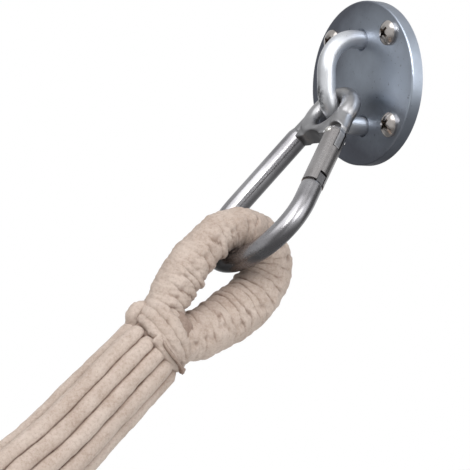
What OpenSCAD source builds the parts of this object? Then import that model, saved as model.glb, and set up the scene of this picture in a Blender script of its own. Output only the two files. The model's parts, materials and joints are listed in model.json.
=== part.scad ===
// Rope hammock hung between two wall plates: near end at the origin,
// far end mirrored at -X. Units are millimetres, +Z is up.

/* [Wall plates] */
// Plate diameter
plate_d = 80; // [70:1:100]
// Plate thickness
plate_t = 6.3; // [4:0.1:10]
// Pitch circle of the four screws
screw_pcd = 62.6; // [50:0.1:80]
// Screw head diameter
head_d = 12; // [9:0.5:14]
// Screw head height
head_h = 3.8; // [2.5:0.1:5]

/* [Bow] */
// Rod diameter of the welded bow
bow_d = 9; // [7:0.5:11]
// Distance between the two feet
bow_span = 42; // [36:1:50]
// Height of the bow's centreline above the plate face
bow_reach = 21; // [18:1:30]

/* [Carabiner] */
// Rod diameter of the carabiner
rod_d = 10.5; // [8:0.5:12]
// Hole of the eyelet
eyelet_d = 15; // [13:0.5:18]
// Thickness of the eyelet's round section
eyelet_t = 9.6; // [7:0.1:12]
// Distance from eyelet centre to the bottom bend's centreline
hook_len = 93.3; // [70:0.1:110]
// Centreline radius of the bottom bend
bend_r = 28.9; // [22:0.1:34]
// Outward slope of the two legs in degrees
leg_slope = 15.6; // [8:0.1:20]
// Gate tube diameter
gate_d = 11; // [9:0.5:12]
// Gate opening angle in degrees
gate_open = 24; // [15:1:30]
// Hinge rivet diameter
rivet_d = 4; // [3:0.5:5]

/* [Rope end] */
// Diameter of the served eye
eye_d = 22; // [16:1:26]
// Centreline radius of the eye's nose
eye_nose_r = 19; // [16:1:24]
// Diameter of the eye's core of cords
core_d = 17; // [12:0.5:20]
// Diameter of the throat seizing
throat_d = 34; // [26:1:40]
// Length of the throat seizing
throat_len = 13; // [8:1:20]
// Diameter of one suspension cord
cord_d = 7; // [5:0.5:9]

/* [Bed] */
// Distance between the two wall faces
span = 3086; // [2900:1:3300]
// Radius of the sagging bed's centre line
sag_r = 1432; // [1200:1:1800]
// Radius of the bed's trough
trough_r = 260; // [180:5:400]
// Half angle of the trough in degrees
trough_half = 65; // [45:1:80]
// Thickness of the net
net_t = 8; // [5:0.5:12]
// Diameter of the edge and end cords
edge_d = 9; // [6:0.5:12]

/* [Hidden] */
$fn = 64;
hook_fall = 50;
rope_fall = 40;
contact_fall = 40;
corner_r = 17;
leg_straight = bow_reach - corner_r;
mid_x = -span / 2;
bow_x = -plate_t - leg_straight - corner_r * cos(contact_fall);
bow_z = -(bow_span / 2 - corner_r) - corner_r * sin(contact_fall);
bow_gap = 0.6;
hook_gap = 0.3;
eye_off = eyelet_d / 2 - bow_d / 2 - bow_gap;
hook_x = bow_x - eye_off * cos(hook_fall);
hook_z = bow_z - eye_off * sin(hook_fall);
bend_x = hook_x - hook_len * cos(hook_fall);
bend_z = hook_z - hook_len * sin(hook_fall);
bend_u = hook_len - bend_r;
leg_v0 = bend_r / cos(leg_slope) - bend_u * tan(leg_slope);
piv_u = 15.4;
piv_v = -(leg_v0 + piv_u * tan(leg_slope));
gate_len = 32.6;
nose_gap = 0.9;
cam_r = 3.2;
cam_throw = 1.545;
tan_u = bend_u - bend_r * sin(leg_slope);
tan_v = bend_r * cos(leg_slope);
spine_u = 12.5;
rod_sides = 24;
bend_steps = 32;
eye_back = eye_nose_r - eye_d / 2 - rod_d / 2 - hook_gap;
arm_half = 76;
arm_len = 50;
throat_x = 50;
cord_x0 = 54;
cord_x1 = 164;
clew_x = 702.7;
bed_z = 556;
clew_t = [-58, -49.08, -40.15, -31.23, -22.31, -13.38, -4.46,
          4.46, 13.38, 22.31, 31.23, 40.15, 49.08, 58];
// Place of each cord in the round bundle: across and down, in pitches
slot_y = [-0.5, 0.5, -1, -1.5, -1, -0.5, -0.5, 0, 0, 0.5, 1, 0.5, 1.5, 1];
slot_z = [-2, -2, -1, 0, 1, 2, 0, -1, 1, 2, 1, 0, 0, -1];
pitch_a = 7.2;
pitch_b = 8.4;
cord_sides = 10;

// Far end: the near end mirrored about the middle of the bed
module far() {
  translate([-span, 0, 0]) mirror([1, 0, 0]) children();
}

// Rod between two points of the XY plane
module rod(a, b, r) {
  d = b - a;
  translate([a[0], a[1], 0])
    rotate([0, 90, atan2(d[1], d[0])])
      cylinder(r = r, h = norm(d));
}

// Rod between two points in space
module strut(a, b, r) {
  d = b - a;
  translate(a)
    rotate([0, acos(d[2] / norm(d)), atan2(d[1], d[0])])
      cylinder(r = r, h = norm(d));
}

// Ring of n points of radius r at p, across a path whose direction in the XY
// plane is heading
function ring(p, r, heading, n) = [for (j = [0:n - 1])
  let (a = r * cos(j * 360 / n))
    [p[0] - a * sin(heading), p[1] + a * cos(heading), p[2] + r * sin(j * 360 / n)]];

// Closed tube through a list of rings of n points each
module tube(rings, n) {
  last = len(rings) - 1;
  polyhedron(
    points = [for (g = rings) each g],
    faces = [
      [for (j = [0:n - 1]) j],
      for (i = [0:last - 1], j = [0:n - 1])
        [i * n + j, (i + 1) * n + j,
         (i + 1) * n + (j + 1) % n, i * n + (j + 1) % n],
      [for (j = [n - 1:-1:0]) last * n + j]]);
}

// Wall plate group: local Z points away from the wall
module from_wall() {
  rotate([0, -90, 0]) children();
}

module at_screws() {
  for (a = [45, 135, 225, 315])
    rotate([0, 0, a]) translate([screw_pcd / 2, 0, 0]) children();
}

module plate() {
  difference() {
    from_wall() rotate_extrude() union() {
      square([plate_d / 2 - 0.9, plate_t]);
      square([plate_d / 2, plate_t - 0.9]);
      translate([plate_d / 2 - 0.9, plate_t - 0.9]) circle(r = 0.9);
    }
    from_wall() at_screws()
      translate([0, 0, -1]) cylinder(r = 3.2, h = plate_t + 2);
    for (s = [-1, 1]) translate([0, 0, s * bow_span / 2]) from_wall() {
      translate([0, 0, -1]) cylinder(r = bow_d / 2, h = plate_t + 2);
      translate([0, 0, plate_t - 1])
        cylinder(r1 = bow_d / 2, r2 = bow_d / 2 + 1.1, h = 1.01);
    }
  }
}

module bow() {
  x0 = -plate_t - leg_straight;
  z0 = bow_span / 2 - corner_r;
  for (s = [-1, 1]) {
    translate([0, 0, s * bow_span / 2]) from_wall()
      cylinder(r = bow_d / 2, h = -x0);
    translate([x0, 0, s * z0]) rotate([90, 0, 0])
      rotate([0, 0, s > 0 ? 90 : 180])
        rotate_extrude(angle = 90) translate([corner_r, 0])
          circle(r = bow_d / 2);
  }
  translate([x0 - corner_r, 0, -z0]) cylinder(r = bow_d / 2, h = 2 * z0);
}

module screws() {
  cap = head_h - 1.2;
  cap_r = (head_d * head_d / 4 + cap * cap) / (2 * cap);
  from_wall() at_screws() difference() {
    union() {
      cylinder(r = 3, h = plate_t + 0.5);
      translate([0, 0, plate_t]) cylinder(r = head_d / 2, h = 1.2);
      intersection() {
        translate([0, 0, plate_t + head_h - cap_r]) sphere(r = cap_r);
        translate([0, 0, plate_t + 1.2]) cylinder(r = head_d / 2, h = cap);
      }
    }
    translate([0, 0, plate_t + head_h - 1]) {
      cube([6.2, 1.3, 4.6], center = true);
      cube([1.3, 6.2, 4.6], center = true);
      cylinder(r1 = 1.2, r2 = 1.6, h = 3, center = true);
    }
  }
}

// Carabiner frame: X down the hook, Y across it (gate at -Y), Z to the back
module on_hook() {
  translate([hook_x, 0, hook_z]) rotate([0, 180 - hook_fall, 0]) children();
}

// Gate frame: origin at the rivet, X along the gate, -Y is the outer side
module on_gate() {
  translate([piv_u, piv_v, 0]) rotate([0, 0, -leg_slope]) children();
}

module eyelet_ring() {
  rotate_extrude()
    translate([(eyelet_d + eyelet_t) / 2, 0]) circle(r = eyelet_t / 2);
}

// Eyelet, web and hinge of the carabiner
module hook_head() {
  difference() {
    union() {
      eyelet_ring();
      difference() {
        union() {
          // flat web under the eyelet
          translate([7, -13, -3.6]) cube([8.5, 26, 7.2]);
          // spine side and gate side shoulders
          rod([0, 11.3], [14, leg_v0 + 14 * tan(leg_slope)], 4.6);
          translate([0, 11.3, 0]) sphere(r = 4.9);
          rod([0, -11.3], [12, piv_v + 0.6], 4.9);
          translate([0, -11.3, 0]) sphere(r = 5.2);
        }
        // the eyelet's hole keeps its rounded rim
        cylinder(r = 12, h = 20, center = true);
      }
    }
    // hollow edge of the web between the legs
    translate([25.5, 0, 0]) cylinder(r = 12.2, h = 20, center = true);
    // room for the gate's rounded end and its swing
    on_gate() {
      cylinder(r = gate_d / 2 + 0.45, h = 20, center = true);
      translate([0, 0, -10]) linear_extrude(20)
        polygon([[0, -6], [32, -6], [32, 6], [25, 17.6], [-2.4, 5.4]]);
    }
  }
  // hinge tongue in the gate's slot, with the cam that works the plunger
  on_gate() difference() {
    union() {
      translate([-9, -4.6, -2]) cube([9, 8.4, 4]);
      translate([-1, -5.2, -2]) cube([10.2, 2.8, 4]);
      translate([0, 0, -2]) cylinder(r = cam_r, h = 4);
      translate([0, cam_throw, -2]) cylinder(r = cam_r, h = 4);
      translate([-cam_r, 0, -2]) cube([2 * cam_r, cam_throw, 4]);
    }
    translate([0, 0, -3]) cylinder(r = rivet_d / 2, h = 6);
  }
}

// Spine, bottom bend and nose of the carabiner, as one bent rod
module hook_rod() {
  start = [spine_u, leg_v0 + spine_u * tan(leg_slope), 0];
  turn = 90 + leg_slope;
  nose = gate_len + nose_gap;
  tip = [piv_u + nose * cos(leg_slope), piv_v - nose * sin(leg_slope), 0];
  r = rod_d / 2;
  tube([
    ring(start, r, leg_slope, rod_sides),
    for (i = [0:bend_steps]) let (t = turn - 2 * turn * i / bend_steps)
      ring([bend_u + bend_r * cos(t), bend_r * sin(t), 0], r, t - 90, rod_sides),
    ring(tip, r, -turn - 90, rod_sides)], rod_sides);
}

// Tongue on the nose that the closed gate rests on
module latch() {
  on_gate() translate([27.6, -4.8, -2]) cube([gate_len + nose_gap - 27.6, 6.6, 4]);
}

module gate() {
  r = gate_d / 2;
  on_gate() difference() {
    union() {
      rotate([0, 90, 0]) cylinder(r = r, h = gate_len);
      sphere(r = r);
    }
    // hinge slot
    translate([-7, -7, -2.3]) cube([11.1, 14, 4.6]);
    translate([3, -7, -2.3]) cube([6.7, 4.9, 4.6]);
    // latch slot
    translate([26.8, -7, -2.3]) cube([8, 9.1, 4.6]);
    // plunger bore
    rotate([0, 90, 0]) cylinder(r = 1.8, h = 24.2);
    // rivet hole
    cylinder(r = rivet_d / 2 + 0.05, h = 20, center = true);
  }
}

module rivet() {
  on_gate() {
    translate([0, 0, -5.5]) cylinder(r = rivet_d / 2, h = 11);
    for (s = [-1, 1]) intersection() {
      translate([0, 0, s * 3.3]) sphere(r = 3);
      cylinder(r = rivet_d / 2, h = 14, center = true);
    }
  }
}

module plunger() {
  on_gate() rotate([0, 90, 0]) {
    translate([0, 0, cam_r + 0.15]) cylinder(r = 1.7, h = 5.6);
    translate([0, 0, 8]) cylinder(r = 0.9, h = 12);
  }
}

module spring() {
  on_gate() rotate([0, 90, 0]) translate([0, 0, 9.8]) difference() {
    cylinder(r = 1.7, h = 14.3);
    translate([0, 0, -1]) cylinder(r = 1.15, h = 16);
  }
}

// Rope frame: origin in the hook's bend, X down the rope, Z downwards
module on_rope() {
  translate([bend_x, 0, bend_z]) rotate([0, 180 - rope_fall, 0]) children();
}

module eye_loop(r) {
  c = eye_back;
  e = [c + eye_nose_r * cos(arm_half), eye_nose_r * sin(arm_half)];
  d = [arm_len * sin(arm_half), -arm_len * cos(arm_half)];
  rotate([90, 0, 0]) {
    translate([c, 0, 0]) rotate([0, 0, arm_half])
      rotate_extrude(angle = 360 - 2 * arm_half)
        translate([eye_nose_r, 0]) circle(r = r);
    rod(e, e + d, r);
    rod([e[0], -e[1]], [e[0] + d[0], -e[1] - d[1]], r);
  }
}

module serving() {
  on_rope() difference() {
    eye_loop(eye_d / 2);
    eye_loop(core_d / 2);
  }
}

module seizing() {
  on_rope() translate([throat_x, 0, 0]) rotate([0, 90, 0])
    rotate_extrude() union() {
      translate([throat_d / 2 - 3, 3]) circle(r = 3);
      translate([throat_d / 2 - 3, throat_len - 3]) circle(r = 3);
      translate([0, 3]) square([throat_d / 2, throat_len - 6]);
      square([throat_d / 2 - 3, throat_len]);
    }
}

module tail() {
  on_rope() strut([throat_x + 8, 0, 14], [throat_x + 2, -2, 23], 2);
}

module clew() {
  row = 0.868;
  on_rope() for (i = [0:13]) {
    a = [cord_x0, slot_y[i] * pitch_a, slot_z[i] * pitch_a * row];
    b = [cord_x1, slot_y[i] * pitch_b, slot_z[i] * pitch_b * row];
    c = [clew_x, trough_r * sin(clew_t[i]),
         -trough_r * (1 - cos(clew_t[i]))];
    tube([for (p = [a, b, c]) ring(p, cord_d / 2, 0, cord_sides)], cord_sides);
  }
}

module end_cord() {
  on_rope() translate([clew_x, 0, -trough_r]) rotate([0, 90, 0])
    rotate([0, 0, 180 - trough_half])
      rotate_extrude(angle = 2 * trough_half)
        translate([trough_r, 0]) circle(r = edge_d / 2);
}

// Sweeps a profile (X radius, Y across) along the sagging bed
module along_bed() {
  translate([mid_x, 0, bed_z]) rotate([-90, 0, 0]) rotate([0, 0, 90 - rope_fall])
    rotate_extrude(angle = 2 * rope_fall) children();
}

module bed() {
  w = trough_r * 3;
  h = trough_half;
  along_bed() translate([sag_r - trough_r, 0]) intersection() {
    difference() {
      circle(r = trough_r + net_t / 2);
      circle(r = trough_r - net_t / 2);
    }
    polygon([[0, 0], [w * cos(h), w * sin(h)], [w, w], [w, -w],
      [w * cos(h), -w * sin(h)]]);
  }
}

module edge_cord(s) {
  along_bed()
    translate([sag_r - trough_r * (1 - cos(trough_half)),
      s * trough_r * sin(trough_half)]) circle(r = edge_d / 2);
}

module wall_plate_a() { color("lightsteelblue") plate(); }
module ring_bow_a() { color("silver") bow(); }
module plate_screws_a() { color("gainsboro") screws(); }
module carabiner_head_a() { color("darkgray") on_hook() hook_head(); }
module carabiner_rod_a() { color("darkgray") on_hook() hook_rod(); }
module gate_latch_a() { color("darkgray") on_hook() latch(); }
module carabiner_gate_a() { color("gray") on_hook() gate(); }
module gate_rivet_a() { color("white") on_hook() rivet(); }
module gate_plunger_a() { color("tan") on_hook() plunger(); }
module gate_spring_a() { color("silver") on_hook() spring(); }
module eye_core_a() { color("wheat") on_rope() eye_loop(core_d / 2); }
module eye_serving_a() { color("linen") serving(); }
module throat_seizing_a() { color("bisque") seizing(); }
module seizing_tail_a() { color("bisque") tail(); }
module clew_cords_a() { color("antiquewhite") clew(); }
module end_cord_a() { color("wheat") end_cord(); }
module wall_plate_b() { color("lightsteelblue") far() plate(); }
module ring_bow_b() { color("silver") far() bow(); }
module plate_screws_b() { color("gainsboro") far() screws(); }
module carabiner_head_b() { color("darkgray") far() on_hook() hook_head(); }
module carabiner_rod_b() { color("darkgray") far() on_hook() hook_rod(); }
module gate_latch_b() { color("darkgray") far() on_hook() latch(); }
module carabiner_gate_b() { color("gray") far() on_hook() gate(); }
module gate_rivet_b() { color("white") far() on_hook() rivet(); }
module gate_plunger_b() { color("tan") far() on_hook() plunger(); }
module gate_spring_b() { color("silver") far() on_hook() spring(); }
module eye_core_b() { color("wheat") far() on_rope() eye_loop(core_d / 2); }
module eye_serving_b() { color("linen") far() serving(); }
module throat_seizing_b() { color("bisque") far() seizing(); }
module seizing_tail_b() { color("bisque") far() tail(); }
module clew_cords_b() { color("antiquewhite") far() clew(); }
module end_cord_b() { color("wheat") far() end_cord(); }
module net_bed() { color("antiquewhite") bed(); }
module edge_cord_front() { color("wheat") edge_cord(-1); }
module edge_cord_back() { color("wheat") edge_cord(1); }

wall_plate_a();
ring_bow_a();
plate_screws_a();
carabiner_head_a();
carabiner_rod_a();
gate_latch_a();
carabiner_gate_a();
gate_rivet_a();
gate_plunger_a();
gate_spring_a();
eye_core_a();
eye_serving_a();
throat_seizing_a();
seizing_tail_a();
clew_cords_a();
end_cord_a();
wall_plate_b();
ring_bow_b();
plate_screws_b();
carabiner_head_b();
carabiner_rod_b();
gate_latch_b();
carabiner_gate_b();
gate_rivet_b();
gate_plunger_b();
gate_spring_b();
eye_core_b();
eye_serving_b();
throat_seizing_b();
seizing_tail_b();
clew_cords_b();
end_cord_b();
net_bed();
edge_cord_front();
edge_cord_back();
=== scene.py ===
"""Rope hammock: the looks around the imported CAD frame. Metres, in the row frame.

The rope eye with its collar, the suspension cords, the end and border ropes, the net and the
carabiners' rods are meshes built here, and they stand for their CAD nodes. The plates, bows,
screws, hook heads, latches, gates, rivets, plungers and springs are the CAD's own meshes with
better materials, and the hook heads' edges are softened.
"""
import json
import math

import bpy
import numpy as np
from mathutils import Matrix, Vector


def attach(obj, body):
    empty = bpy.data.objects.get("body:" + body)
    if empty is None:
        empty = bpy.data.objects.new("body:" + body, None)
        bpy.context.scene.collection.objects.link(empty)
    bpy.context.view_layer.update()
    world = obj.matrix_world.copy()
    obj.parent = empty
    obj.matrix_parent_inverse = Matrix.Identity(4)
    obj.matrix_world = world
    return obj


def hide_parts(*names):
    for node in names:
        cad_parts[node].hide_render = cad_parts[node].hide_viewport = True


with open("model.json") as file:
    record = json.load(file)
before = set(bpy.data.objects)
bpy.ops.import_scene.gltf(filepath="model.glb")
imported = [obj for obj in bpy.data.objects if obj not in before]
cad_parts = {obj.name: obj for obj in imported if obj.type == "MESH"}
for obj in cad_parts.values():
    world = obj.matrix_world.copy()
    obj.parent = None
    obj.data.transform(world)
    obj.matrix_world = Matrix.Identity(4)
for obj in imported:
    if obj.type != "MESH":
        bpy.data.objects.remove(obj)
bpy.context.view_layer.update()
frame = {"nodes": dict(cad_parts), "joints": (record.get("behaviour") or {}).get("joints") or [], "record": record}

MM = 0.001
TAU = 2 * math.pi

# ---------------------------------------------------------------- places taken from the frame
# The near rope's own frame: x down along the rope from the hook's bend, y across, z downwards
JOINTS = {joint["name"]: joint for joint in frame["joints"]}
MOUNTS = {mount["name"]: mount for mount in frame["record"]["mounts"]}
BEND = np.array(JOINTS["eye_pivot_a"]["pos_m"])
SPAN = MOUNTS["wall_face_b"]["pos_m"][0]
FALL = math.radians(40)
ROPE_X = np.array([-math.cos(FALL), 0, -math.sin(FALL)])
ROPE_Y = np.array([0.0, 1.0, 0.0])
ROPE_Z = np.array([math.sin(FALL), 0, -math.cos(FALL)])

# ---------------------------------------------------------------- sizes shared with the CAD, mm
CORD_R = 3.5                    # suspension cords
EDGE_R = 4.5                    # end and border ropes
CLEW_X = 702.7                  # along the rope, where the cords meet the bed's end rope
TROUGH_R = 260                  # the bed's hollow across
TROUGH_HALF = math.radians(65)
SAG_R = 1432                    # the bed's sag along its middle
SAG_HALF = FALL                 # the sag's ends point along the ropes
BED_Z = 556                     # height of the sag's centre
# Where the suspension cords lie in their bundle: in cords across, and in rows down
SLOT_Y = [-0.5, 0.5, -1, -1.5, -1, -0.5, -0.5, 0, 0, 0.5, 1, 0.5, 1.5, 1]
SLOT_Z = [-2, -2, -1, 0, 1, 2, 0, -1, 1, 2, 1, 0, 0, -1]
ROW = 0.868                     # rows are closer than cords are thick
CORDS = len(SLOT_Y)
CLEW_ANGLES = np.linspace(-58, 58, CORDS).round(2)  # where they meet the trough, degrees


# ---------------------------------------------------------------- curves and noise
def smooth_path(points, step):
    """A Catmull-Rom curve through the points, resampled at about that step."""
    p = np.array(points, float)
    p = np.vstack([2 * p[0] - p[1], p, 2 * p[-1] - p[-2]])
    dense = []
    for i in range(1, len(p) - 2):
        u = np.linspace(0, 1, 40, endpoint=False)[:, None]
        a, b, c, d = p[i - 1], p[i], p[i + 1], p[i + 2]
        dense.append(0.5 * (2 * b + (c - a) * u + (2 * a - 5 * b + 4 * c - d) * u ** 2
                            + (3 * b - a - 3 * c + d) * u ** 3))
    dense = np.vstack([*dense, p[-2:-1]])
    run = np.concatenate([[0], np.cumsum(np.linalg.norm(np.diff(dense, axis=0), axis=1))])
    count = max(4, int(round(run[-1] / step)) + 1)
    s = np.linspace(0, run[-1], count)
    return np.stack([np.interp(s, run, dense[:, k]) for k in range(dense.shape[1])], 1)


def run_length(path):
    """Distance along a path at each of its points."""
    steps = np.linalg.norm(np.diff(path, axis=0), axis=1)
    return np.concatenate([[0], np.cumsum(steps)])


def wobble(x, wave, seed, octaves=3):
    """Smooth noise of about -1 to 1 along x, with that longest wave."""
    rng = np.random.default_rng(seed)
    total = np.zeros_like(np.asarray(x, float))
    for k in range(octaves):
        phase = rng.uniform(0, TAU)
        stretch = rng.uniform(0.8, 1.25)
        total = total + np.sin(x * TAU / wave * stretch * 1.9 ** k + phase) / 1.6 ** k
    return total / 1.6


def rope_to_row(points):
    """Points in the near rope's own frame, mm, as row-frame metres."""
    p = np.asarray(points, float) * MM
    return BEND + p[:, :1] * ROPE_X + p[:, 1:2] * ROPE_Y + p[:, 2:3] * ROPE_Z


def bed_point(along, across, lift=0.0):
    """A point of the bed, from angles along the sag and across the trough, and mm inwards."""
    radius = TROUGH_R - lift
    out = SAG_R - TROUGH_R + radius * np.cos(across)
    return np.stack([SPAN / 2 + out * np.sin(along) * MM, radius * np.sin(across) * MM,
                     (BED_Z - out * np.cos(along)) * MM], -1)


# ---------------------------------------------------------------- tubes gathered into one mesh
class Tubes:
    """Round cords swept along paths, and built as one mesh at one or both ends."""

    def __init__(self):
        self.points, self.loops, self.sizes = [], [], []
        self.painted_shade = []        # how much painted shade each point gets, 0 to 1
        self.lay = []           # turn round the tube, and metres along it
        self.total = 0

    def add(self, path, radius, reference, sides, painted_shade=0.0, closed=False):
        """Path and radius in metres; radius and painted shade are numbers, or rings by sides."""
        path = np.asarray(path, float)
        n = len(path)
        if closed:
            tangent = np.roll(path, -1, 0) - np.roll(path, 1, 0)
        else:
            tangent = np.gradient(path, axis=0)
        tangent /= np.linalg.norm(tangent, axis=1)[:, None]
        a = np.broadcast_to(np.asarray(reference, float), (n, 3))
        a = a - (a * tangent).sum(1)[:, None] * tangent
        a /= np.linalg.norm(a, axis=1)[:, None]
        b = np.cross(tangent, a)
        phi = np.arange(sides) / sides * TAU
        r = np.broadcast_to(np.asarray(radius, float), (n, sides))[..., None]
        v = path[:, None] + r * (np.cos(phi)[None, :, None] * a[:, None]
                                 + np.sin(phi)[None, :, None] * b[:, None])
        self.points.append(v.reshape(-1, 3))
        self.painted_shade.append(np.broadcast_to(painted_shade, (n, sides)).reshape(-1))
        rings = n if closed else n - 1
        i, j = np.meshgrid(np.arange(rings), np.arange(sides), indexing="ij")
        nxt, side = (i + 1) % n, (j + 1) % sides
        quads = np.stack([i * sides + j, i * sides + side, nxt * sides + side,
                          nxt * sides + j], -1).reshape(-1, 4) + self.total
        along = np.append(run_length(path), 0)
        if closed:
            along[n] = along[n - 1] + np.linalg.norm(path[0] - path[-1])
        turn = np.stack([j, j + 1, j + 1, j], -1) / sides
        far = np.stack([i, i, i + 1, i + 1], -1)
        lay = np.stack([turn, along[far], np.zeros(turn.shape)], -1)
        self.loops.append(quads.reshape(-1))
        self.sizes.append(np.full(len(quads), 4))
        self.lay.append(lay.reshape(-1, 3))
        if not closed:
            for cap in (np.arange(sides)[::-1], (n - 1) * sides + np.arange(sides)):
                self.loops.append(cap + self.total)
                self.sizes.append(np.array([sides]))
                self.lay.append(np.zeros((sides, 3)))
        self.total += n * sides

    def build(self, name, material, body, slot, nodes, mirrored=False):
        """Make the mesh, at the far end if mirrored, hang it on its body, and hide its CAD nodes."""
        points = np.vstack(self.points)
        loops = np.concatenate(self.loops)
        sizes = np.concatenate(self.sizes)
        lay = np.vstack(self.lay)
        starts = np.concatenate([[0], np.cumsum(sizes)[:-1]])
        if mirrored:
            points = points * [-1, 1, 1] + [SPAN, 0, 0]
            owner = np.repeat(np.arange(len(sizes)), sizes)
            order = 2 * starts[owner] + sizes[owner] - 1 - np.arange(len(loops))
            loops, lay = loops[order], lay[order]
        mesh = bpy.data.meshes.new(name)
        mesh.vertices.add(len(points))
        mesh.vertices.foreach_set("co", points.astype(np.float32).ravel())
        mesh.loops.add(len(loops))
        mesh.loops.foreach_set("vertex_index", loops.astype(np.int32))
        mesh.polygons.add(len(sizes))
        mesh.polygons.foreach_set("loop_start", starts.astype(np.int32))
        mesh.update(calc_edges=True)
        mesh.polygons.foreach_set("use_smooth", np.ones(len(sizes), bool))
        painted_shade = mesh.attributes.new("painted_shade", "FLOAT", "POINT")
        painted_shade.data.foreach_set("value", np.concatenate(self.painted_shade).astype(np.float32))
        corner = mesh.attributes.new("lay", "FLOAT_VECTOR", "CORNER")
        corner.data.foreach_set("vector", lay.astype(np.float32).ravel())
        mesh.validate()
        mesh.materials.append(material)
        piece = bpy.data.objects.new(name, mesh)
        bpy.context.scene.collection.objects.link(piece)
        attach(piece, body)
        if nodes:
            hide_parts(*nodes)
        return piece


# ---------------------------------------------------------------- materials
PALE = (0.560, 0.462, 0.398)
DULL = (0.455, 0.358, 0.298)
SHADE = (0.150, 0.080, 0.052)
FLECK = (0.680, 0.600, 0.540)
# Painted shade for the steel: the carabiner's rod inside the rope eye
STEEL_SHADE = (0.020, 0.017, 0.015)
# Painted shade for a dark patch on the bows' outer edge
SPOT_SHADE = (0.045, 0.045, 0.050)


class Nodes:
    """A node material written as short calls."""

    def __init__(self, name):
        self.material = bpy.data.materials.new(name)
        self.material.use_nodes = True
        self.tree = self.material.node_tree
        self.shader = self.tree.nodes["Principled BSDF"]
        coordinates = self.tree.nodes.new("ShaderNodeTexCoord")
        self.place = coordinates.outputs["Object"]

    def link(self, source, target):
        self.tree.links.new(source, target)

    def new(self, kind, inputs=(), **settings):
        node = self.tree.nodes.new("ShaderNode" + kind)
        for key, value in settings.items():
            setattr(node, key, value)
        for key, value in dict(inputs).items():
            if isinstance(value, bpy.types.NodeSocket):
                self.link(value, node.inputs[key])
            else:
                node.inputs[key].default_value = value
        return node

    def noise(self, scale, detail, roughness=0.55):
        inputs = {"Vector": self.place, "Scale": scale, "Detail": detail, "Roughness": roughness}
        return self.new("TexNoise", inputs).outputs["Fac"]

    def spread(self, value, low, high, out_low=0.0, out_high=1.0):
        """The value's range from low to high, stretched to the other range and clamped."""
        inputs = {"Value": value, "From Min": low, "From Max": high,
                  "To Min": out_low, "To Max": out_high}
        return self.new("MapRange", inputs).outputs["Result"]

    def math(self, operation, a, b=0.0):
        return self.new("Math", {0: a, 1: b}, operation=operation).outputs[0]

    def mix(self, factor, a, b):
        node = self.new("Mix", data_type="RGBA")
        factor_in, a_in, b_in = (node.inputs[k] for k in (0, 6, 7))
        for socket, value in ((factor_in, factor), (a_in, a), (b_in, b)):
            if isinstance(value, bpy.types.NodeSocket):
                self.link(value, socket)
            else:
                socket.default_value = value if isinstance(value, float) else (*value, 1)
        return node.outputs[2]

    def bump(self, height, distance, strength, under=None):
        inputs = {"Height": height, "Distance": distance, "Strength": strength}
        if under:
            inputs["Normal"] = under
        return self.new("Bump", inputs).outputs["Normal"]

    def attribute(self, name, output="Fac"):
        """One of the mesh's own attributes, as a number or as a vector."""
        return self.new("Attribute", attribute_name=name).outputs[output]


def cotton(name, strands=0, pitch=None):
    """Natural cotton: mottled, finely fibrous, brown with painted shade in its creases, and laid in strands."""
    n = Nodes(name)
    mottle = n.spread(n.noise(75, 5), 0.36, 0.66)
    fibre = n.spread(n.noise(1500, 3, 0.7), 0.3, 0.7)
    grain = n.spread(n.noise(680, 4, 0.8), 0.34, 0.66, -1.0, 1.0)
    colour = n.mix(mottle, PALE, DULL)
    colour = n.mix(n.spread(grain, 0.0, 1.6, 0.0, 0.42), colour, SHADE)
    colour = n.mix(n.spread(grain, 0.0, -1.6, 0.0, 0.35), colour, FLECK)
    uneven = n.spread(n.noise(420, 4, 0.7), 0.3, 0.6, 0.7, 1.1)
    # Painted shade from the mesh's attribute, a little uneven
    painted_shade = n.math("MULTIPLY", n.attribute("painted_shade"), uneven)
    normal = n.bump(fibre, 0.00022, 0.6)
    normal = n.bump(n.noise(430, 5, 0.75), 0.0008, 0.7, normal)
    if strands:
        lay = n.new("SeparateXYZ", {0: n.attribute("lay", "Vector")}).outputs
        phase = n.math("ADD", n.math("MULTIPLY", lay[0], TAU * strands),
                       n.math("MULTIPLY", lay[1], TAU / pitch))
        ridge = n.math("ABSOLUTE", n.math("SINE", n.math("MULTIPLY", phase, 0.5)))
        # Painted shade in the grooves between the strands
        groove = n.spread(ridge, 0.0, 0.42, 0.5, 0.0)
        painted_shade = n.math("MAXIMUM", painted_shade, groove)
        normal = n.bump(ridge, 0.0008, 0.6, normal)
    # The painted shade darkens the cotton towards the shade colour
    colour = n.mix(painted_shade, colour, SHADE)
    n.link(colour, n.shader.inputs["Base Color"])
    n.link(normal, n.shader.inputs["Normal"])
    n.shader.inputs["Roughness"].default_value = 0.93
    n.shader.inputs["Specular IOR Level"].default_value = 0.2
    n.shader.inputs["Sheen Weight"].default_value = 0.08
    n.shader.inputs["Sheen Roughness"].default_value = 0.55
    return n.material


def plate_zinc():
    """The plates' zinc with painted light: lightest beside the bow, on the gate side, and darker towards the rim.
    """
    n = Nodes("plate_zinc")
    place = n.new("SeparateXYZ", {0: n.place}).outputs
    across = n.math("MULTIPLY", n.math("ADD", place[1], 19 * MM), 1 / (40 * MM))
    down = n.math("MULTIPLY", n.math("ADD", place[2], -1 * MM), 1 / (34 * MM))
    away = n.math("ADD", n.math("POWER", n.math("ABSOLUTE", across), 2.0),
                  n.math("POWER", n.math("ABSOLUTE", down), 2.0))
    away = n.math("ADD", away, n.spread(n.noise(45, 4), 0.3, 0.7, -0.35, 0.35))
    # Painted light: a bright spot beside the bow that fades towards the rim
    painted_light = n.spread(away, 0.0, 1.5, 1.0, 0.0)
    return zinc("plate_zinc", (0.55, 0.61, 0.70), (0.19, 0.20, 0.235), 0.42, cloud_and_painted_light=painted_light, n=n)


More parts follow.
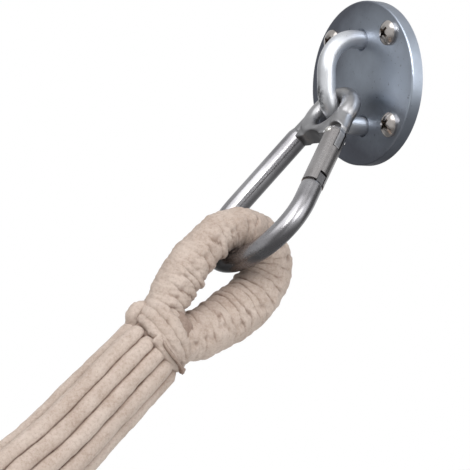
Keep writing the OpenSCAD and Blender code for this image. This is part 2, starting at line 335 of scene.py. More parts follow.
def shade_spot(n, centre, size):
    """A mottled patch of painted shade round a place given in mm at the near end, and its mirror image."""
    place = n.new("SeparateXYZ", {0: n.place}).outputs
    from_middle = n.math("ABSOLUTE", n.math("SUBTRACT", place[0], SPAN / 2))
    at_near_end = (n.math("ADD", from_middle, SPAN / 2), place[1], place[2])
    away = 0.0
    for value, middle, half in zip(at_near_end, centre, size):
        offset = n.math("MULTIPLY", n.math("SUBTRACT", value, middle * MM), 1 / (half * MM))
        away = n.math("ADD", n.math("MULTIPLY", offset, offset), away)
    patch = n.spread(away, 0.1, 1.0, 1.0, 0.0)
    return n.math("MULTIPLY", patch, n.spread(n.noise(420, 5, 0.7), 0.40, 0.56, 0.15, 0.95))


def zinc(name, bright, dull, rough, scale=38, grain=0.6, cloud_and_painted_light=None, n=None, spot_place=None):
    """Zinc-plated or polished steel: cloudy in colour and gloss, with fine handling marks.

    Grain is how deep the marks are. Cloud, with its nodes n, says where the steel is bright;
    on the plates it carries painted light.
    The last argument is the place and size of a patch of painted shade.
    """
    n = n or Nodes(name)
    if cloud_and_painted_light is None:
        cloud_and_painted_light = n.math("SUBTRACT", 1.0, n.spread(n.noise(scale, 5), 0.34, 0.68))
    fine = n.noise(scale * 22, 3, 0.7)
    colour = n.mix(cloud_and_painted_light, dull, bright)
    pits = n.spread(n.noise(scale * 14, 2, 0.6), 0.66, 0.76, 0.0, 0.5)
    colour = n.mix(pits, colour, [0.4 * part for part in dull])
    uneven = n.spread(n.noise(160, 4), 0.3, 0.6, 0.75, 1.0)
    # Painted shade where the mesh carries a shade attribute: the carabiner's rod inside the rope eye
    colour = n.mix(n.math("MULTIPLY", n.attribute("painted_shade"), uneven), colour, STEEL_SHADE)
    # Painted shade in a mottled dark patch where a place is given
    if spot_place:
        colour = n.mix(shade_spot(n, *spot_place), colour, SPOT_SHADE)
    n.link(colour, n.shader.inputs["Base Color"])
    gloss = n.math("ADD", n.spread(cloud_and_painted_light, 0, 1, rough * 1.2, rough * 0.75),
                   n.spread(fine, 0.3, 0.7, -0.03, 0.05))
    n.link(gloss, n.shader.inputs["Roughness"])
    normal = n.bump(fine, 0.00006, grain)
    normal = n.bump(n.noise(scale * 4, 2), 0.0002, grain * 0.5, normal)
    n.link(normal, n.shader.inputs["Normal"])
    n.shader.inputs["Metallic"].default_value = 1.0
    return n.material


def soften(node, grain, passes):
    """Round a CAD node's sharp edges as a casting's are: grain in metres, and smoothing passes."""
    node.modifiers.new("weld", "WELD").merge_threshold = 0.01 * MM
    remesh = node.modifiers.new("remesh", "REMESH")
    remesh.mode = "VOXEL"
    remesh.voxel_size = grain
    remesh.use_smooth_shade = True
    smooth = node.modifiers.new("smooth", "SMOOTH")
    smooth.factor = 0.5
    smooth.iterations = passes


def floor_paint():
    """Matt off-white, a little uneven."""
    n = Nodes("floor_paint")
    colour = n.mix(n.spread(n.noise(3, 3), 0.3, 0.7), (0.86, 0.86, 0.85), (0.82, 0.82, 0.81))
    n.link(colour, n.shader.inputs["Base Color"])
    n.shader.inputs["Roughness"].default_value = 0.9
    return n.material


# ---------------------------------------------------------------- the served rope eye
# The eye's centreline in the rope's frame, mm: along the rope, and down. Then its half width.
EYE = [(58, -1.5, 10.0), (45, -6.5, 9.6), (28.5, -12.0, 10.7), (14, -14.3, 10.4),
       (2, -14.8, 9.9), (-7.5, -12.7, 10.1), (-15.5, -7.3, 10.7), (-19.8, 1.5, 11.0),
       (-20.0, 9.5, 11.2), (-14.8, 16.6, 11.6), (-4.5, 20.6, 12.4), (11, 20.6, 12.8),
       (32, 15.9, 12.3), (45, 10.8, 10.9), (58, 5.0, 10.5)]
EYE_MIDDLE = [10, 0, 3]
EYE_STEP = 0.3
EYE_SIDES = 112
TURN = 5.0                      # from one turn of the serving to the next
HITCH_AT = math.radians(-66)    # the row of half hitches, round the section from its outside
SEAM_OFF = 0.30                 # the groove beside it, radians


def round_angles(sides):
    """Angles round a section, as one row."""
    return (np.arange(sides) / sides * TAU)[None]


def bell(offset, width):
    """A smooth bell of that half width round an angle offset of zero."""
    return np.exp(-(np.angle(np.exp(1j * offset)) / width) ** 2)


def eye_shape():
    """Twine served round the eye, with a row of half hitches towards its outside."""
    route = smooth_path([(x, 0, z, r) for x, z, r in EYE], EYE_STEP)
    s = run_length(route[:, :3])[:, None]
    phi = round_angles(EYE_SIDES)
    outward = np.cos(phi)
    # Which turn of the twine each point is on, and how far across it; the lay is uneven
    turns = s / TURN + 0.30 * wobble(s, 31, 3) + 0.12 * np.sin(phi)
    turns = turns + 0.14 * wobble(s * 0.5 + phi * 3.1, 8, 5) + 0.05 * wobble(s + phi * 5.0, 3.1, 6)
    number = np.floor(turns).astype(int)
    lot = np.random.default_rng(11).uniform(-1, 1, (number.max() + 2, 4))
    inside = turns - number
    # The turns stand out less towards the outside of the eye
    hump = 1 - np.abs(2 * inside - 1) ** 3.0
    middle = np.clip(1.15 - 1.15 * np.clip(outward, 0, 1), 0.15, 1)
    height = (0.74 - 0.20 * outward) * (1 + 0.6 * lot[number, 0]) * middle
    # The half hitches, with a groove and pits beside them
    hitch_phi = HITCH_AT + 0.20 * lot[number, 1] + 0.12 * wobble(s, 40, 12)
    hitch = bell(phi - hitch_phi, 0.24) + bell(phi + hitch_phi, 0.24)
    seam = hitch_phi - SEAM_OFF
    groove = bell(phi - seam, 0.12) + bell(phi + seam, 0.12)
    pit = groove * np.exp(-((inside - 0.16) / 0.17) ** 2)
    pit = pit * np.clip(0.5 + 0.5 * lot[number, 2], 0.1, 1)
    uneven = (0.40 * wobble(s + 9 * np.sin(phi), 29, 7)
              + 0.26 * wobble(s * 0.7 + 5 * np.cos(phi), 9, 8)
              + 0.13 * wobble(s * 1.1 + 7 * np.sin(phi + 1), 3.6, 13))
    hitches = 0.65 * hitch * hump * (1 + 0.5 * lot[number, 3])
    radius = (route[:, 3:4] - 0.6 + height * hump + hitches
              - 0.85 * pit - 0.22 * groove + uneven)
    radius = radius * (1 - 0.05 * np.sin(phi) ** 2)
    # Painted shade in the pits, between turns, and inside the eye
    line = np.clip((1 - hump) * 1.3 - 0.45, 0, 1) * middle
    line = line * np.clip(0.55 + 0.55 * wobble(s + 11 * phi, 19, 9) + 0.45 * lot[number, 0], 0, 1)
    painted_shade = np.clip(0.85 * line + 0.50 * pit + 0.06 * groove, 0, 1)
    painted_shade = np.clip(painted_shade + 0.35 * np.clip(-outward - 0.25, 0, 1), 0, 1)
    path = rope_to_row(route[:, :3])
    centre = rope_to_row([EYE_MIDDLE])[0]
    out = np.cross(np.gradient(path, axis=0), ROPE_Y)
    out *= np.sign(((path - centre) * out).sum(1))[:, None]
    shape = Tubes()
    shape.add(path, radius * MM, out, EYE_SIDES, painted_shade)
    return shape


# ---------------------------------------------------------------- the collar at the throat
COLLAR_MID = 2.6                # how far its middle lies below the rope's axis
CORE_MIDDLE, CORE_HALF = 55, 19
CORE_HIGH, CORE_DEEP = 14.6, 10.6
WRAP_SIDES, CORE_SIDES, BUMP_SIDES, TAIL_SIDES = 28, 32, 20, 18


def wrap_shape(shape, centre_x, half_z, half_y, r, spread, turns, seed):
    """A few turns of twine round the throat: fanned out in front, close and thin underneath."""
    t = np.linspace(0, turns * TAU, int(turns * 110)) + math.radians(100)
    rank = (t - t[0]) / TAU - (turns - 1) / 2
    fan = 0.66 - 0.34 * np.cos(t) - 0.25 * np.sin(t)
    tilt = 2.5 * np.sin(t) - 3.0 * np.cos(t)
    x = centre_x + rank * spread * fan + tilt + 0.4 * wobble(t, 3.1, seed)
    z = COLLAR_MID + (half_z + 0.35 * wobble(t, 2.3, seed + 1)) * np.sin(t)
    y = half_y * np.cos(t)
    path = rope_to_row(np.stack([x, y, z], 1))
    s = run_length(path)[:, None] / MM
    phi = round_angles(WRAP_SIDES)
    lumps = (0.09 * wobble(s + 3 * np.sin(phi), 6.5, seed + 2)
             + 0.05 * wobble(s + 4 * phi, 2.6, seed + 3))
    thin = 1 - 0.30 * np.clip(np.sin(t), 0, 1)[:, None]
    # Painted shade on the turns' sides, where they lie against their neighbours
    painted_shade = np.clip(np.abs(np.sin(phi)) * 1.9 - 1.25 + 0.3 * wobble(s, 7, seed + 4), 0, 1) * 0.55
    centre = rope_to_row(np.stack([x, np.zeros_like(x), np.full_like(x, COLLAR_MID)], 1))
    shape.add(path, r * MM * thin * (1 + lumps), path - centre, WRAP_SIDES, painted_shade)


def collar_shape():
    """An oval core under two bands of turns, and the lump where the twine crosses itself."""
    shape = Tubes()
    core_path = smooth_path([(40, 0, 2.6), (50, 0, 2.8), (60, 0, 3), (72, 0, 3.2)], 1.0)
    phi = round_angles(CORE_SIDES)
    oval = 1 / np.sqrt((np.cos(phi) / CORE_HIGH) ** 2 + (np.sin(phi) / CORE_DEEP) ** 2)
    taper = np.sqrt(np.clip(1 - ((core_path[:, :1] - CORE_MIDDLE) / CORE_HALF) ** 4, 0.05, 1))
    # The core gets painted shade all over, under its turns
    shape.add(rope_to_row(core_path), oval * taper * MM, -ROPE_Z, CORE_SIDES, 0.55)
    wrap_shape(shape, centre_x=50.2, half_z=14.4, half_y=12.0, r=3.6, spread=5.2, turns=2.3, seed=21)
    wrap_shape(shape, centre_x=54.4, half_z=13.8, half_y=12.4, r=2.9, spread=3.6, turns=1.5, seed=31)
    bump = smooth_path([(47, 6, -9), (50.2, 3, -13.4), (53.6, 1, -15.8), (57.6, 1, -15.6),
                        (59.8, 3, -11.5), (60.5, 6, -7)], 0.5)
    s = run_length(bump)[:, None]
    phi = round_angles(BUMP_SIDES)
    radius = 3.0 + 0.25 * wobble(s + 2 * np.sin(phi), 5, 41)
    # Painted shade towards the lump's ends
    shape.add(rope_to_row(bump), radius * MM, ROPE_Y, BUMP_SIDES,
              np.clip(1.4 * np.abs(s / s[-1] - 0.5) - 0.25, 0, 1))
    return shape


def tail_shape():
    """The seizing's end: it crosses the collar below the eye, and ends in a pointed tuft."""
    shape = Tubes()
    path = smooth_path([(60.6, -14.6, -3), (62, -15.8, 2), (61.6, -15.6, 7.5), (60.2, -13.2, 12.5),
                        (58.6, -9.2, 17), (57.6, -5.2, 20.6)], 0.35)
    s = run_length(path)[:, None]
    taper = np.clip((s[-1] - s) / 5.0, 0.10, 1) ** 0.6 * np.clip(s / 2.0, 0.3, 1)
    phi = round_angles(TAIL_SIDES)
    tuft = 0.95 + 0.75 * bell((s - s[-1] + 4.5) / 6, 0.5)
    radius = tuft * taper * (1 + 0.12 * np.sin(5 * phi + 0.6 * s))
    # Painted shade on the tail's sides, growing towards its tuft
    painted_shade = 0.35 + 0.35 * np.clip(np.abs(np.sin(phi)) * 2 - 1, 0, 1) + 0.25 * s / s[-1]
    shape.add(rope_to_row(path), radius * MM, ROPE_Y, TAIL_SIDES, np.clip(painted_shade, 0, 0.9))
    return shape


# ---------------------------------------------------------------- the carabiner's rod
# Its own plane is u down from the eyelet and v across; sizes are shared with the CAD, mm
ROD_R = 5.25
ROD_SIDES = 112
ROD_STEP = 1.3
HOOK_LEN = 93.3                 # from the eyelet's seat to the bend's middle
BEND_R = 28.9
LEG_SLOPE = math.radians(15.6)  # how far each leg leans out
HOOK_FALL = math.radians(50)
HOOK_X = np.array([-math.cos(HOOK_FALL), 0, -math.sin(HOOK_FALL)])
PIVOT_U = 15.4                  # the gate's rivet
NOSE_AT = 33.1                  # along the gate, where the nose ends
SPINE_U = 12.5                  # where the spine leaves the web
EYE_SHADE_AT = math.radians(12)    # where painted shade darkens the bend inside the rope eye
EYE_SHADE_WIDE = math.radians(34)


def hook_to_row(points):
    """Points in the near carabiner's own plane, mm, as row-frame metres."""
    p = np.asarray(points, float) * MM
    return BEND + (p[:, :1] - HOOK_LEN * MM) * HOOK_X + p[:, 1:2] * ROPE_Y


def rod_shape():
    """The carabiner's bent rod, from the web, round the bend, to the nose."""
    tan = math.tan(LEG_SLOPE)
    middle = HOOK_LEN - BEND_R
    lift = BEND_R / math.cos(LEG_SLOPE) - middle * tan
    turn = math.pi / 2 + LEG_SLOPE
    angles = np.linspace(turn, -turn, 150)
    spine = np.linspace(SPINE_U - 1.5, middle - BEND_R * math.sin(LEG_SLOPE), 60)[:-1]
    tip_u = PIVOT_U + NOSE_AT * math.cos(LEG_SLOPE)
    nose = np.linspace(spine[-1], tip_u, 14)[1:]
    path = np.concatenate([
        np.stack([spine, lift + spine * tan], 1),
        np.stack([middle + BEND_R * np.cos(angles), BEND_R * np.sin(angles)], 1),
        np.stack([nose, -(lift + nose * tan)], 1)])
    route = smooth_path(path, ROD_STEP)
    s = run_length(route)
    radius = np.interp(s, [0, 2.6, s[-1] - 0.3, s[-1]], [4.7, ROD_R, ROD_R, ROD_R - 0.2])
    # Painted shade on the bend where it runs inside the rope eye
    turn_at = np.arctan2(route[:, 1], route[:, 0] - middle)
    in_eye_shade = np.exp(-((turn_at - EYE_SHADE_AT) / EYE_SHADE_WIDE) ** 2)[:, None]
    shape = Tubes()
    shape.add(hook_to_row(route), (radius * MM)[:, None], np.cross(HOOK_X, ROPE_Y), ROD_SIDES,
              in_eye_shade)
    return shape


# ---------------------------------------------------------------- suspension cords
# The five cords on the near side, which lie a little apart: across, down and radius, mm
FRONT = {0: (-5.2, -10.0, 4.3), 2: (-8.8, -4.0, 4.2), 3: (-10.4, 2.6, 4.2), 4: (-8.8, 9.8, 5.0),
         5: (-4.4, 16.6, 4.4)}
# Where those come out from under the collar, and where the hidden ones do
CORD_START = {0: 60.5, 2: 61.0, 3: 59.5, 4: 59.0, 5: 58.5}
HIDDEN_START = 56
BUNDLE_END = 164                # along the rope, where the bundle begins to fan out
BUNDLE_PITCH = 8.4              # from cord to cord there
WHIPPING_AT = 21                # from the end rope to the thin whipping on each cord
CORD_SIDES = 28
CORD_STEP = 3.0


def bundle_place(i):
    """Where a cord lies in the bundle, and its radius there."""
    y, z = SLOT_Y[i] * 7.0, SLOT_Z[i] * 6.6 + 3.0
    return FRONT.get(i, (y, z, 4.0))


def end_rope_local(angle):
    """The end rope's middle line in the rope's frame, mm, at an angle across the trough."""
    return np.stack([np.full_like(angle, CLEW_X), TROUGH_R * np.sin(angle),
                     -TROUGH_R * (1 - np.cos(angle))], -1)


def cord_route(i):
    """One suspension cord: bundled at the throat, close for a while, then fanned to the bed."""
    rng = np.random.default_rng(100 + i)
    end = end_rope_local(math.radians(CLEW_ANGLES[i]))
    held = np.array([BUNDLE_END, SLOT_Y[i] * BUNDLE_PITCH, SLOT_Z[i] * BUNDLE_PITCH * ROW])
    y, z, r = bundle_place(i)
    start = CORD_START.get(i, HIDDEN_START)
    points = []
    for x, tight in ((start, 0.86), (65, 0.95), (80, 1.0), (105, 1.03), (130, 1.06)):
        sway = rng.uniform(-0.35, 0.35, 2) * (x > 70)
        points.append((x, y * tight + sway[0], (z - 3) * tight + 3 + (x - 80) / 50 + sway[1], r))
    points.append((*(held * 0.5 + np.array([held[0], y * 1.08, z * 1.08]) * 0.5), r))
    points.append((*(held + (end - held) * 0.12 + [0, 0, 1.5]), CORD_R + 0.2))
    for share in (0.3, 0.5, 0.75, 0.98):
        points.append((*(held + (end - held) * share), CORD_R))
    return points


def near_neighbours(i, points, routes):
    """How close points of one cord lie to the other cords: 1 touching, 0 clear."""
    x, y, z = points[..., 0], points[..., 1], points[..., 2]
    gap = np.full(x.shape, 9.0)
    for k, other in enumerate(routes):
        if k != i:
            cy, cz, cr = (np.interp(x, other[:, 0], other[:, axis]) for axis in (1, 2, 3))
            gap = np.minimum(gap, np.hypot(y - cy, z - cz) - cr)
    return np.clip(1 - gap / 1.1, 0, 1) ** 1.5


def cords_shape():
    """The suspension cords, a little soft, and shaded where they lie together."""
    shape = Tubes()
    phi = round_angles(CORD_SIDES)
    routes = [smooth_path(cord_route(i), CORD_STEP) for i in range(CORDS)]
    for i, route in enumerate(routes):
        thick = route[:, 3:4]
        s = run_length(route[:, :3])[:, None]
        start = np.sqrt(np.clip(s / 4.5, 0.03, 1))
        soft = 0.20 * wobble(s, 23, 200 + i) + 0.12 * wobble(s + 6 * np.cos(phi), 8, 300 + i)
        soft = soft + 0.05 * wobble(s * 0.4 + 5 * phi, 3.0, 400 + i)
        radius = (thick + soft) * start
        skin = np.stack([np.broadcast_to(route[:, :1], radius.shape),
                         route[:, 1:2] + radius * np.cos(phi),
                         route[:, 2:3] + radius * np.sin(phi)], -1)
        painted_shade = near_neighbours(i, skin, routes) * np.clip(1.6 - s / 160, 0, 1)
        shape.add(rope_to_row(route[:, :3]), radius * MM, ROPE_Y, CORD_SIDES, painted_shade)
    return shape


def ring_round(shape, centre, axis, normal, ring_r, r, turns, pitch, sides=10):
    """A few turns of cord round a rope, centred at a point of it."""
    axis = axis / np.linalg.norm(axis)
    normal = normal - (normal @ axis) * axis
    normal = normal / np.linalg.norm(normal)
    side = np.cross(axis, normal)
    t = np.linspace(0, turns * TAU, int(turns * 22) + 1)
    step = ((t / TAU) - turns / 2) * pitch * MM
    path = centre + step[:, None] * axis + ring_r * MM * (np.cos(t)[:, None] * normal
                                                          + np.sin(t)[:, None] * side)
    # A little painted shade all over the turns
    shape.add(path, r * MM, axis, sides, 0.12)


def knot_at(shape, centre, normal, along, size, r, rings=36, sides=7):
    """A trefoil knot lying across the normal."""
    along = along - (along @ normal) * normal
    along = along / np.linalg.norm(along)
    side = np.cross(normal, along)
    t = np.arange(rings) / rings * TAU
    u = (np.sin(t) + 2 * np.sin(2 * t)) * size * MM
    v = (np.cos(t) - 2 * np.cos(2 * t)) * size * MM
    w = -np.sin(3 * t) * size * 0.8 * MM
    path = centre + u[:, None] * along + v[:, None] * side + w[:, None] * normal
    # A little painted shade all over the knot
    shape.add(path, r * MM, normal, sides, 0.15, closed=True)


def end_rope_point(angle):
    """The same, in the row frame."""
    return rope_to_row([end_rope_local(angle)])[0]


def clew_knots_shape():
    """Each suspension cord's end: turns round the end rope, and a whipping above them."""
    shape = Tubes()
    for i, degrees in enumerate(CLEW_ANGLES):
        angle = math.radians(degrees)
        centre = end_rope_point(angle)
        axis = end_rope_point(angle + 0.01) - end_rope_point(angle - 0.01)
        ring_round(shape, centre, axis, ROPE_X, ring_r=EDGE_R + CORD_R - 0.9, r=CORD_R - 0.5,
                   turns=1.7, pitch=6.2, sides=14)
        route = rope_to_row(np.array(cord_route(i)[-2:])[:, :3])
        back = (route[0] - route[1]) / np.linalg.norm(route[0] - route[1])
        foot = centre + back * WHIPPING_AT * MM
        ring_round(shape, foot, back, ROPE_Y, ring_r=CORD_R + 0.9, r=1.5, turns=5.0, pitch=2.7)
    return shape


LAID_STRANDS = 3
LAID_PITCH = 24
LAID_SIDES = 30


def laid_rope(shape, path, reference):
    """Three-strand laid rope: the strands wind round each other in the mesh itself."""
    s = run_length(path)[:, None] / MM
    phi = round_angles(LAID_SIDES)
    wave = np.abs(np.sin(0.5 * (LAID_STRANDS * phi + s / LAID_PITCH * TAU)))
    radius = EDGE_R * (0.80 + 0.22 * wave ** 0.7)
    # Painted shade in the grooves between the strands
    painted_shade = np.clip(0.85 - wave * 1.7, 0, 0.8)
    shape.add(path, radius * MM, reference, LAID_SIDES, painted_shade)


def end_rope_shape():
    """The rope across the bed's end, with a knot at each corner."""
    shape = Tubes()
    angles = np.linspace(-TROUGH_HALF, TROUGH_HALF, 250)
    laid_rope(shape, rope_to_row(end_rope_local(angles)), ROPE_X)
    for sign in (-1, 1):
        corner = end_rope_point(sign * TROUGH_HALF)
        knot_at(shape, corner, ROPE_Y * sign, ROPE_X, size=2.6, r=3.6, rings=72, sides=16)
    return shape


# ---------------------------------------------------------------- the net
ACROSS = 14                     # half meshes across the bed, even
ALONG = 40                      # half meshes along it, even
NET_R = 2.0
LASHING_R = 1.8


def net_place(i, j):
    """Angles of mesh point (i across, j along), a little irregular inside the border."""
    rng = np.random.default_rng(1000 + 50 * j + i)
    free = 0 < i < ACROSS and 0 < j < ALONG
    shift = rng.uniform(-0.09, 0.09, 2) if free else (0, 0)
    along = -SAG_HALF + 2 * SAG_HALF * (j + shift[0]) / ALONG
    across = -TROUGH_HALF + 2 * TROUGH_HALF * (i + shift[1]) / ACROSS
    return along, across


def net_normal(along, across):
    """The direction from the bed towards its hollow."""
    inward = bed_point(along, across, 10.0) - bed_point(along, across)
    return inward / np.linalg.norm(inward)


def net_cords_shape():
    """The net's cords, from each mesh point to the two ahead of it."""
    shape = Tubes()
    for j in range(ALONG):
        for i in range(j % 2, ACROSS + 1, 2):
            for step in (-1, 1):
                k = i + step
                if not 0 <= k <= ACROSS:
                    continue
                a, b = net_place(i, j), net_place(k, j + 1)
                u = np.linspace(0, 1, 11)
                along = a[0] + (b[0] - a[0]) * u
                bow = 0.10 * np.sin(np.pi * u) * step / ACROSS
                across = a[1] + (b[1] - a[1]) * u + bow * (0.4 if 0 < i < ACROSS else 0)
                lift = 0.6 * np.sin(np.pi * u) * step
                path = bed_point(along, across, lift)
                shape.add(path, NET_R * MM, net_normal(*a), 9, 0.0)
    return shape


def net_knots_shape():
    """A knot at each mesh point inside the border."""
    shape = Tubes()
    for j in range(1, ALONG):
        for i in range(2 - j % 2, ACROSS, 2):
            along, across = net_place(i, j)
            centre = bed_point(along, across)
            ahead = bed_point(along + 0.01, across) - centre
            turn = 1 if (i // 2 + j) % 2 else -1
            knot_at(shape, centre, net_normal(along, across) * turn, ahead, size=1.45, r=1.75)
    return shape


def net_lashings_shape():
    """The net's edge meshes, looped round the border ropes and the end ropes."""
    shape = Tubes()
    loop = {"ring_r": EDGE_R + 1.2, "r": LASHING_R, "turns": 2.6, "pitch": 3.6}
    for j in range(0, ALONG + 1, 2):
        for i in (0, ACROSS):
            along, across = net_place(i, j)
            centre = bed_point(along, across)
            axis = bed_point(along + 0.01, across) - centre
            ring_round(shape, centre, axis, ROPE_Y, **loop)
    for j in (0, ALONG):
        for i in range(2, ACROSS, 2):
            along, across = net_place(i, j)
            centre = bed_point(along, across)
            axis = bed_point(along, across + 0.02) - centre
            ring_round(shape, centre, axis, net_normal(along, across), **loop)
    return shape


def edge_rope_shape(side):
    """The border rope along one side of the bed: side is -1 in front and 1 behind."""
    shape = Tubes()
    along = np.linspace(-SAG_HALF, SAG_HALF, 800)
    laid_rope(shape, bed_point(along, np.full_like(along, side * TROUGH_HALF)), ROPE_Y)
    return shape


# ---------------------------------------------------------------- camera, light, floor
CAMERA_AT = (-0.91566, -1.18645, -0.15674)
CAMERA_TURN = (-35.1, -3.2, -0.5)       # yaw, pitch and roll, degrees
LENS = 237.06
FLOOR_LEVEL = -1.25
FLOOR_HALF = 40.0
STUDIO = 0.70
STUDIO_TINT = (0.97, 0.985, 1.0)
# Cards in the studio: direction, how wide as a cosine, how soft, and brightness
CARDS = [((0.0, 0.0, -1.0), 0.10, 0.45, 0.22), ((-0.57, 0.82, 0.06), 0.80, 0.12, 0.34),
         ((-0.57, -0.82, -0.06), 0.90, 0.06, 0.26), ((0.95, -0.30, 0.0), 0.88, 0.06, 0.16),
         ((0.05, -0.95, 0.30), 0.965, 0.02, 4.6), ((-0.55, -0.25, 0.80), 0.90, 0.04, 2.4)]


def add_camera():
    """A long lens on the near end, turned by yaw, pitch and roll."""
    yaw, pitch, roll = (math.radians(turn) for turn in CAMERA_TURN)
    forward = Vector((-math.sin(yaw) * math.cos(pitch), math.cos(yaw) * math.cos(pitch),
                      -math.sin(pitch)))
    right = forward.cross(Vector((0, 0, 1))).normalized()
    up = right.cross(forward)
    x = right * math.cos(roll) + up * math.sin(roll)
    y = up * math.cos(roll) - right * math.sin(roll)
    data = bpy.data.cameras.new("camera")
    data.lens = LENS
    data.sensor_width = 36
    data.clip_start = 0.01
    data.clip_end = 100
    camera = bpy.data.objects.new("camera", data)
    camera.matrix_world = (Matrix.Translation(CAMERA_AT)
                           @ Matrix((x, y, -forward)).transposed().to_4x4())
    bpy.context.scene.collection.objects.link(camera)
    bpy.context.scene.camera = camera


def area_light(name, place, target, size, power, colour=(1, 1, 1)):
    """A rectangular lamp of that size in metres and power in watts, turned to the target."""
    data = bpy.data.lights.new(name, "AREA")
    data.shape = "RECTANGLE"
    data.size, data.size_y = size
    data.energy = power
    data.color = colour
    lamp = bpy.data.objects.new(name, data)
    lamp.location = place
    lamp.rotation_euler = (Vector(target) - Vector(place)).to_track_quat("-Z", "Y").to_euler()
    lamp.visible_camera = False
    bpy.context.scene.collection.objects.link(lamp)


def add_world():
    """A white studio for the camera, which the object sees as grey with the cards in it."""
    world = bpy.data.worlds.new("studio")
    bpy.context.scene.world = world
    world.use_nodes = True
    tree = world.node_tree
    new, link = tree.nodes.new, tree.links.new
    direction = new("ShaderNodeTexCoord").outputs["Generated"]
    level = None
    for towards, edge, soft, brightness in CARDS:
        dot = new("ShaderNodeVectorMath")
        dot.operation = "DOT_PRODUCT"
        link(direction, dot.inputs[0])
        dot.inputs[1].default_value = Vector(towards).normalized()
        ramp = new("ShaderNodeMapRange")
        ramp.interpolation_type = "SMOOTHSTEP"
        link(dot.outputs["Value"], ramp.inputs["Value"])
        ramp.inputs["From Min"].default_value = edge
        ramp.inputs["From Max"].default_value = edge + soft
        mix = new("ShaderNodeMix")
        link(ramp.outputs["Result"], mix.inputs[0])
        if level is None:
            mix.inputs[2].default_value = STUDIO
        else:
            link(level, mix.inputs[2])
        mix.inputs[3].default_value = brightness
        level = mix.outputs[0]
    tint = new("ShaderNodeCombineColor")
    for channel, share in enumerate(STUDIO_TINT):
        part = new("ShaderNodeMath")
        part.operation = "MULTIPLY"
        link(level, part.inputs[0])
        part.inputs[1].default_value = share
        link(part.outputs[0], tint.inputs[channel])
    rays = new("ShaderNodeLightPath")
    seen = new("ShaderNodeMix")
    seen.data_type = "RGBA"
    link(rays.outputs["Is Camera Ray"], seen.inputs[0])
    link(tint.outputs[0], seen.inputs[6])
    seen.inputs[7].default_value = (1, 1, 1, 1)
    link(seen.outputs[2], tree.nodes["Background"].inputs["Color"])


def add_stage():
    """The floor under the bed, a key and a fill light on the near hook, and one on the bed."""
    mesh = bpy.data.meshes.new("floor")
    corners = [(-1, -1), (1, -1), (1, 1), (-1, 1)]
    mesh.from_pydata([(SPAN / 2 + x * FLOOR_HALF, y * FLOOR_HALF, FLOOR_LEVEL)
                      for x, y in corners], [], [(0, 1, 2, 3)])
    mesh.materials.append(floor_paint())
    floor = bpy.data.objects.new("floor", mesh)
    floor.visible_glossy = False
    bpy.context.scene.collection.objects.link(floor)
    hook = (-0.06, 0, -0.07)
    area_light("key", (-1.5, -1.9, 1.5), hook, (0.6, 1.0), 17)
    area_light("fill", (0.9, -1.7, 0.4), hook, (0.9, 1.6), 4, (0.95, 0.97, 1))
    area_light("bed_key", (-1.5, -2.6, 2.6), (-1.5, 0, -0.7), (4, 3), 24)


# ---------------------------------------------------------------- put together
add_camera()
bpy.context.scene.view_settings.view_transform = "Standard"
add_world()
add_stage()

TWINE = cotton("cotton_twine")
CORD = cotton("cotton_cord")
NET = cotton("cotton_net", strands=2, pitch=9 * MM)

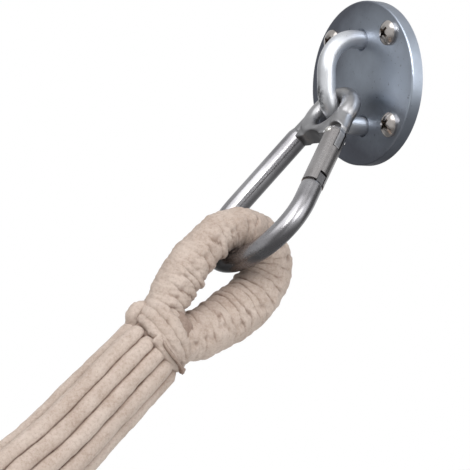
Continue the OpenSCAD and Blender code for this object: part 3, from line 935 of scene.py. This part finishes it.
# Bright and dull colours, roughness, clouds per metre, and how deep the fine marks are
HOOK_STEEL = zinc("hook_steel", (0.42, 0.41, 0.42), (0.27, 0.26, 0.27), 0.25, 50, 0.0)
HEAD_STEEL = zinc("head_steel", (0.46, 0.455, 0.46), (0.27, 0.265, 0.27), 0.34, 60, 0.3)
BOW_SHADE_SPOT = ((-31.0, 0.4, -9.0), (5.0, 3.6, 9.5))     # painted shade down the bow's outer edge: place and size, mm
MATERIALS = {
    "wall_plate": plate_zinc(),
    "ring_bow": zinc("bow_zinc", (0.86, 0.87, 0.89), (0.62, 0.63, 0.66), 0.44, 60, spot_place=BOW_SHADE_SPOT),
    "plate_screws": zinc("screw_steel", (0.60, 0.56, 0.53), (0.36, 0.32, 0.30), 0.16, 90, 0.3),
    "carabiner_head": HEAD_STEEL,
    "carabiner_rod": HOOK_STEEL,
    "gate_latch": HOOK_STEEL,
    "carabiner_gate": zinc("gate_steel", (0.42, 0.40, 0.395), (0.33, 0.31, 0.305), 0.27, 60, 0.5),
    "gate_rivet": zinc("rivet_steel", (0.80, 0.78, 0.74), (0.60, 0.57, 0.53), 0.2, 90, 0.3),
    "gate_plunger": zinc("plunger_steel", (0.55, 0.55, 0.55), (0.42, 0.42, 0.42), 0.3, 90, 0.3),
    "gate_spring": zinc("spring_wire", (0.40, 0.40, 0.41), (0.30, 0.30, 0.31), 0.3, 90, 0.3),
}
for stem, material in MATERIALS.items():
    for end in "ab":
        node = frame["nodes"][f"{stem}_{end}"]
        node.data.materials.clear()
        node.data.materials.append(material)
        if stem == "carabiner_head":
            soften(node, grain=0.4 * MM, passes=7)

ROD_SHAPE = rod_shape()
EYE_SHAPE = eye_shape()
COLLAR_SHAPE = collar_shape()
TAIL_SHAPE = tail_shape()
CORDS_SHAPE = cords_shape()
KNOTS_SHAPE = clew_knots_shape()
END_SHAPE = end_rope_shape()
for end in "ab":
    far = end == "b"
    ROD_SHAPE.build("hook_rod_" + end, HOOK_STEEL, "hook_" + end, "hook_steel",
                    ["carabiner_rod_" + end], far)
    EYE_SHAPE.build("served_eye_" + end, TWINE, "rope", "cotton_twine",
                    ["eye_core_" + end, "eye_serving_" + end], far)
    COLLAR_SHAPE.build("throat_collar_" + end, TWINE, "rope", "cotton_twine",
                       ["throat_seizing_" + end], far)
    TAIL_SHAPE.build("collar_tail_" + end, TWINE, "rope", "cotton_twine",
                     ["seizing_tail_" + end], far)
    CORDS_SHAPE.build("suspension_cords_" + end, CORD, "rope", "cotton_cord",
                      ["clew_cords_" + end], far)
    KNOTS_SHAPE.build("cord_ends_" + end, CORD, "rope", "cotton_cord", [], far)
    END_SHAPE.build("end_rope_" + end, CORD, "rope", "cotton_cord", ["end_cord_" + end], far)
net_cords_shape().build("net_cords", NET, "rope", "cotton_net", ["net_bed"])
net_knots_shape().build("net_knots", NET, "rope", "cotton_net", [])
net_lashings_shape().build("net_lashings", NET, "rope", "cotton_net", [])
edge_rope_shape(-1).build("edge_rope_front", CORD, "rope", "cotton_cord", ["edge_cord_front"])
edge_rope_shape(1).build("edge_rope_back", CORD, "rope", "cotton_cord", ["edge_cord_back"])
